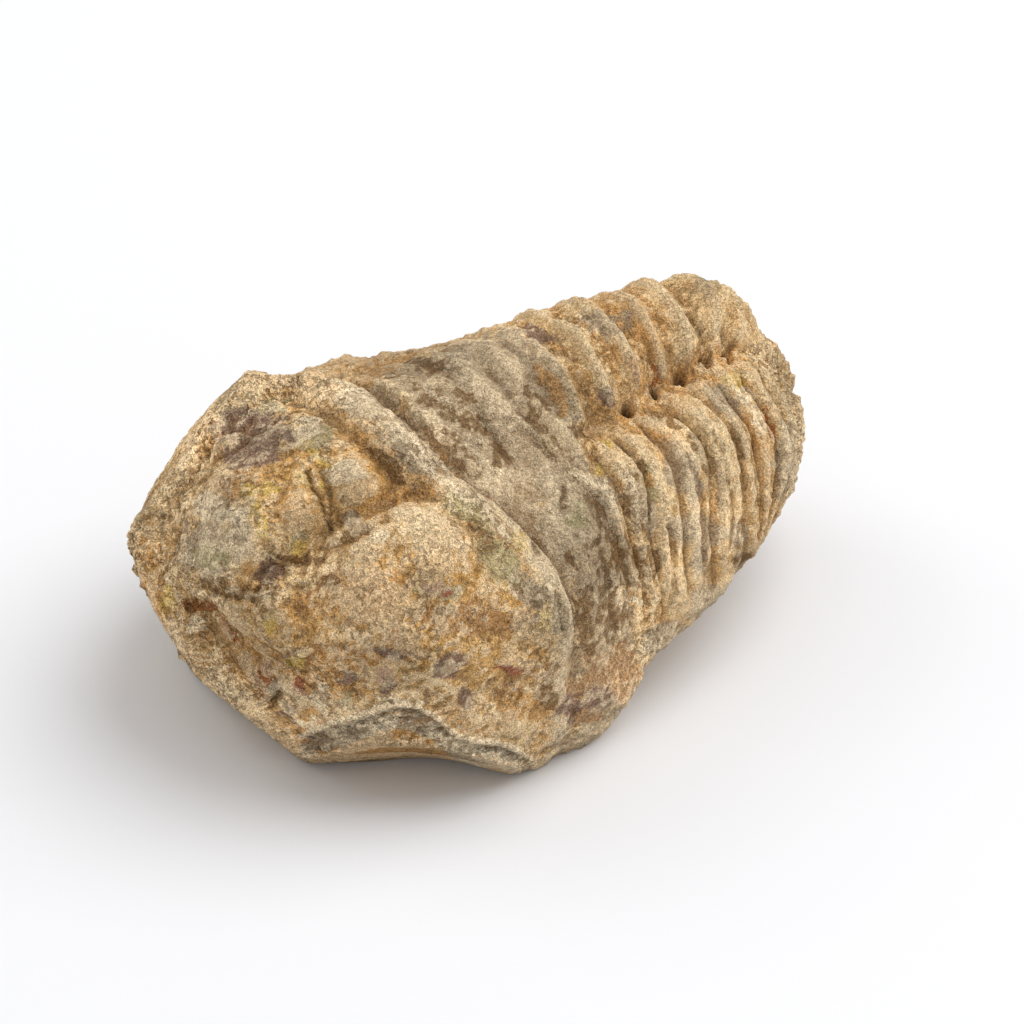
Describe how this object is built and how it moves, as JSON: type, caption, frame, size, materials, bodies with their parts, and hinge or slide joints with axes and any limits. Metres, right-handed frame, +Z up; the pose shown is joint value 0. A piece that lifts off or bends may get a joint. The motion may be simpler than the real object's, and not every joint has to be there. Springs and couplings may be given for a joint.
{
  "type": "trilobite fossil",
  "caption": "Whole calymenid trilobite fossil in tan limestone, tail curled down, with a raised ringed axis, ribbed flanks and a rough broken underside that it rests on.",
  "frame": {"origin": "centre of the bounding box's bottom face, on the flat face that the fossil rests on", "axes": "+Z up, the head points to -Y and the curled tail to +Y, +X is the animal's left side"},
  "size_m": [0.0482, 0.0712, 0.0317],
  "materials": {
    "fossil_stone": "matte, gritty, tan and grey with rust, ochre and purple stains"
  },
  "bodies": {
    "root": {"trilobite_fossil": "fossil_stone"}
  },
  "joints": []
}
